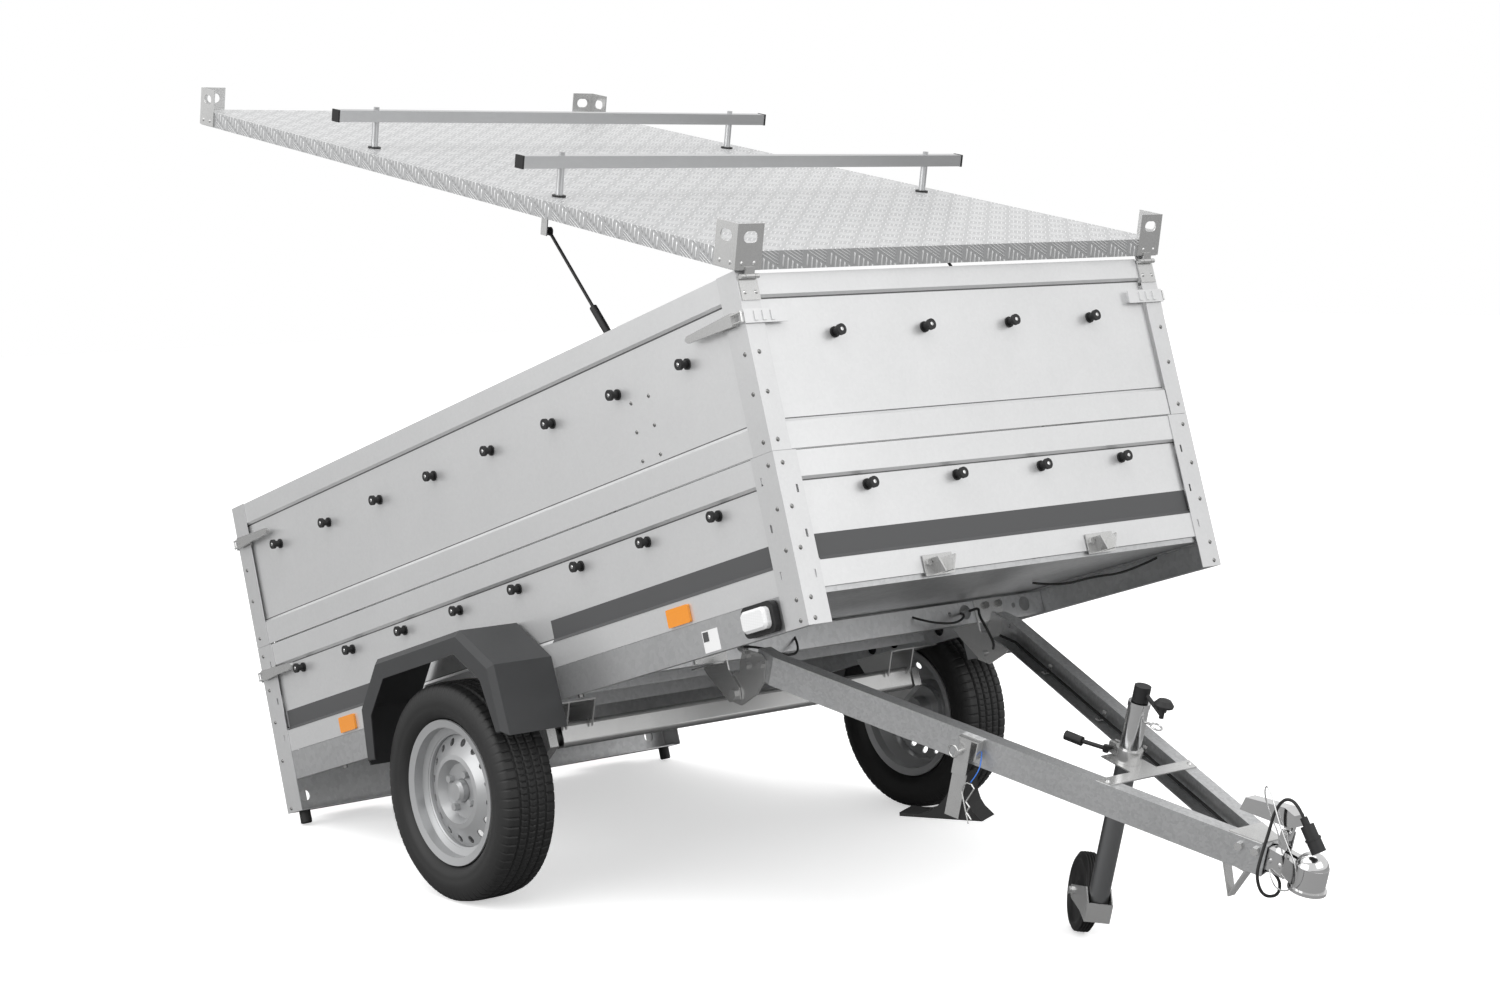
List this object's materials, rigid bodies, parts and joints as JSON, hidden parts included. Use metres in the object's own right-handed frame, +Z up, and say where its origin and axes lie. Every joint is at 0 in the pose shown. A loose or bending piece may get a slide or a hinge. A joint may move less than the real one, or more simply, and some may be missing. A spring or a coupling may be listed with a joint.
{
  "type": "tipping box trailer",
  "caption": "Small galvanised box trailer, tipped rear-down on a hinged drawbar, with raised sides, a propped chequer-plate lid, roof bars and a jockey wheel.",
  "frame": {"origin": "on the ground below the middle of the trailer's plan", "axes": "+X towards the coupling, +Y to the trailer's left, +Z up"},
  "size_m": [3.4489, 1.716, 2.0703],
  "materials": {
    "galvanised": "spangled zinc, satin",
    "bright_zinc": "smooth zinc, semi-bright",
    "chequer_alu": "rolled bright",
    "bar_alu": "satin",
    "chrome": "polished",
    "wheel_silver": "silver paint",
    "tyre": "matte tread",
    "black_rubber": "matte",
    "black_plastic": "moulded",
    "guard_plastic": "moulded grey-black",
    "clear_lens": "clear moulded",
    "red_lens": "clear moulded",
    "orange_lens": "prismatic",
    "blue_cord": "coated"
  },
  "bodies": {
    "box": {"chassis_frame": "galvanised", "floor_sheet": "galvanised", "lower_panels": "galvanised", "upper_side_panels": "galvanised", "corner_posts": "bright_zinc", "axle_tube": "bright_zinc", "mudguards": "guard_plastic", "lamp_housings": "black_plastic", "front_lamp_lenses": "clear_lens", "tail_lamp_lenses": "red_lens", "side_reflectors": "orange_lens", "box_knobs": "black_plastic", "frame_fasteners": "bright_zinc", "rubber_feet": "black_rubber", "drawbar_hangers": "bright_zinc", "beam_cable_loop": "black_rubber", "box_fittings": "bright_zinc"},
    "front_flap": {"front_flap": "galvanised", "front_flap_knobs": "black_plastic"},
    "rear_flap": {"rear_flap": "galvanised"},
    "tailgate": {"tailgate": "galvanised"},
    "lid": {"lid_plate": "chequer_alu", "lid_fittings": "bright_zinc", "roof_bars": "bar_alu", "roof_bar_trims": "black_plastic"},
    "strut_cylinder_right": {"strut_cylinder_right": "black_plastic"},
    "strut_cylinder_left": {"strut_cylinder_left": "black_plastic"},
    "strut_rod_right": {"strut_rod_right": "chrome"},
    "strut_rod_left": {"strut_rod_left": "chrome"},
    "swing_arm_right": {"swing_arm_right": "bright_zinc"},
    "swing_arm_left": {"swing_arm_left": "bright_zinc"},
    "wheel_right": {"wheel_right": "wheel_silver", "tyre_right": "tyre"},
    "wheel_left": {"wheel_left": "wheel_silver", "tyre_left": "tyre"},
    "drawbar": {"drawbar_arms": "galvanised", "hinge_plates": "bright_zinc", "drawbar_cross_pieces": "bright_zinc", "coupling_head": "chrome", "drawbar_cable": "black_rubber", "plug_cable": "black_rubber", "trailer_plug": "black_plastic", "breakaway_cable": "chrome", "chock_holder": "bright_zinc", "wheel_chock": "black_rubber", "clip_tether": "blue_cord", "spring_clip": "bright_zinc"},
    "coupling_handle": {"coupling_handle": "chrome"},
    "clamp_lever": {"clamp_lever": "black_plastic"},
    "jockey_tube": {"jockey_outer_tube": "chrome"},
    "jockey_crank": {"jockey_crank": "black_plastic"},
    "jockey_leg": {"jockey_inner_tube": "bright_zinc"},
    "jockey_fork": {"jockey_fork": "bright_zinc"},
    "jockey_wheel": {"jockey_wheel": "black_rubber"},
    "latch_front_right": {"latch_front_right": "bright_zinc"},
    "latch_front_left": {"latch_front_left": "bright_zinc"},
    "latch_rear_upper_right": {"latch_rear_upper_right": "bright_zinc"},
    "latch_rear_upper_left": {"latch_rear_upper_left": "bright_zinc"},
    "latch_rear_lower_right": {"latch_rear_lower_right": "bright_zinc"},
    "latch_rear_lower_left": {"latch_rear_lower_left": "bright_zinc"}
  },
  "joints": [
    {"name": "suspension_right", "type": "hinge", "parent": "box", "child": "swing_arm_right", "pos_m": [-0.2056, 0, 0.39685], "axis": [0, 1, 0], "range_deg": [-4, 4], "stiffness_Nm_per_rad": 9000},
    {"name": "wheel_right_turn", "type": "hinge", "parent": "swing_arm_right", "child": "wheel_right", "pos_m": [-0.32535, -0.77, 0.2735], "axis": [0, 1, 0], "continuous": true},
    {"name": "suspension_left", "type": "hinge", "parent": "box", "child": "swing_arm_left", "pos_m": [-0.2056, 0, 0.39685], "axis": [0, 1, 0], "range_deg": [-4, 4], "stiffness_Nm_per_rad": 9000},
    {"name": "wheel_left_turn", "type": "hinge", "parent": "swing_arm_left", "child": "wheel_left", "pos_m": [-0.32535, 0.77, 0.2735], "axis": [0, 1, 0], "continuous": true},
    {"name": "lid_close", "type": "hinge", "parent": "box", "child": "lid", "pos_m": [0.64866, 0, 1.54266], "axis": [0, -1, 0], "range_deg": [0, 26.5]},
    {"name": "strut_right_swing", "type": "hinge", "parent": "box", "child": "strut_cylinder_right", "pos_m": [0.32654, 0, 1.15654], "axis": [0, -1, 0], "range_deg": [-0.01, 29.91]},
    {"name": "strut_right_stroke", "type": "slide", "parent": "strut_cylinder_right", "child": "strut_rod_right", "axis": [-0.6837, 0, 0.7298], "range_m": [-0.22945, 0.0001]},
    {"name": "strut_left_swing", "type": "hinge", "parent": "box", "child": "strut_cylinder_left", "pos_m": [0.32654, 0, 1.15654], "axis": [0, -1, 0], "range_deg": [-0.01, 29.91]},
    {"name": "strut_left_stroke", "type": "slide", "parent": "strut_cylinder_left", "child": "strut_rod_left", "axis": [-0.6837, 0, 0.7298], "range_m": [-0.22945, 0.0001]},
    {"name": "front_flap_open", "type": "hinge", "parent": "box", "child": "front_flap", "pos_m": [0.75337, 0, 1.16691], "axis": [0, 1, 0], "range_deg": [0, 95]},
    {"name": "rear_flap_open", "type": "hinge", "parent": "box", "child": "rear_flap", "pos_m": [-1.53319, 0, 0.48526], "axis": [0, -1, 0], "range_deg": [0, 95]},
    {"name": "tailgate_open", "type": "hinge", "parent": "box", "child": "tailgate", "pos_m": [-1.44463, 0, 0.18818], "axis": [0, -1, 0], "range_deg": [0, 95]},
    {"name": "latch_front_right_open", "type": "hinge", "parent": "box", "child": "latch_front_right", "pos_m": [0.6623, -0.684, 1.4549], "axis": [-0.2857, 0, 0.9583], "range_deg": [0, 70]},
    {"name": "latch_front_left_open", "type": "hinge", "parent": "box", "child": "latch_front_left", "pos_m": [0.6623, 0.684, 1.4549], "axis": [0.2857, 0, -0.9583], "range_deg": [0, 70]},
    {"name": "latch_rear_upper_right_open", "type": "hinge", "parent": "box", "child": "latch_rear_upper_right", "pos_m": [-1.61468, -0.684, 0.7761], "axis": [0.2857, 0, -0.9583], "range_deg": [0, 70]},
    {"name": "latch_rear_upper_left_open", "type": "hinge", "parent": "box", "child": "latch_rear_upper_left", "pos_m": [-1.61468, 0.684, 0.7761], "axis": [-0.2857, 0, 0.9583], "range_deg": [0, 70]},
    {"name": "latch_rear_lower_right_open", "type": "hinge", "parent": "box", "child": "latch_rear_lower_right", "pos_m": [-1.50497, -0.684, 0.40811], "axis": [0.2857, 0, -0.9583], "range_deg": [0, 70]},
    {"name": "latch_rear_lower_left_open", "type": "hinge", "parent": "box", "child": "latch_rear_lower_left", "pos_m": [-1.50497, 0.684, 0.40811], "axis": [-0.2857, 0, 0.9583], "range_deg": [0, 70]},
    {"name": "drawbar_raise", "type": "hinge", "parent": "box", "child": "drawbar", "pos_m": [0.29454, 0, 0.54282], "axis": [0, -1, 0], "range_deg": [0, 32.2]},
    {"name": "coupling_handle_lift", "type": "hinge", "parent": "drawbar", "child": "coupling_handle", "pos_m": [1.61757, 0, 0.34681], "axis": [0, 1, 0], "range_deg": [0, 40]},
    {"name": "clamp_lever_turn", "type": "hinge", "parent": "drawbar", "child": "clamp_lever", "pos_m": [1.12644, 0, 0.4694], "axis": [0, 1, 0], "range_deg": [-60, 60]},
    {"name": "jockey_tube_slide", "type": "slide", "parent": "drawbar", "child": "jockey_tube", "axis": [0.2689, 0, 0.9632], "range_m": [0, 0.12]},
    {"name": "crank_turn", "type": "hinge", "parent": "jockey_tube", "child": "jockey_crank", "pos_m": [1.17389, 0, 0.48315], "axis": [0.2689, 0, 0.9632], "continuous": true},
    {"name": "jockey_leg_slide", "type": "slide", "parent": "jockey_tube", "child": "jockey_leg", "axis": [-0.2689, 0, -0.9632], "range_m": [0, 0.24]},
    {"name": "fork_swivel", "type": "hinge", "parent": "jockey_leg", "child": "jockey_fork", "pos_m": [1.05852, 0, 0.06995], "axis": [0.2689, 0, 0.9632], "continuous": true},
    {"name": "jockey_wheel_turn", "type": "hinge", "parent": "jockey_fork", "child": "jockey_wheel", "pos_m": [0.96, 0.07112, 0.09482], "axis": [0.5524, 0.8192, -0.1542], "continuous": true}
  ],
  "couplings": [
    {"joint": "strut_right_swing", "follows": "lid_close", "ratio": 1.121},
    {"joint": "strut_right_stroke", "follows": "lid_close", "m_per_rad": -0.49392},
    {"joint": "strut_left_swing", "follows": "lid_close", "ratio": 1.121},
    {"joint": "strut_left_stroke", "follows": "lid_close", "m_per_rad": -0.49392}
  ]
}
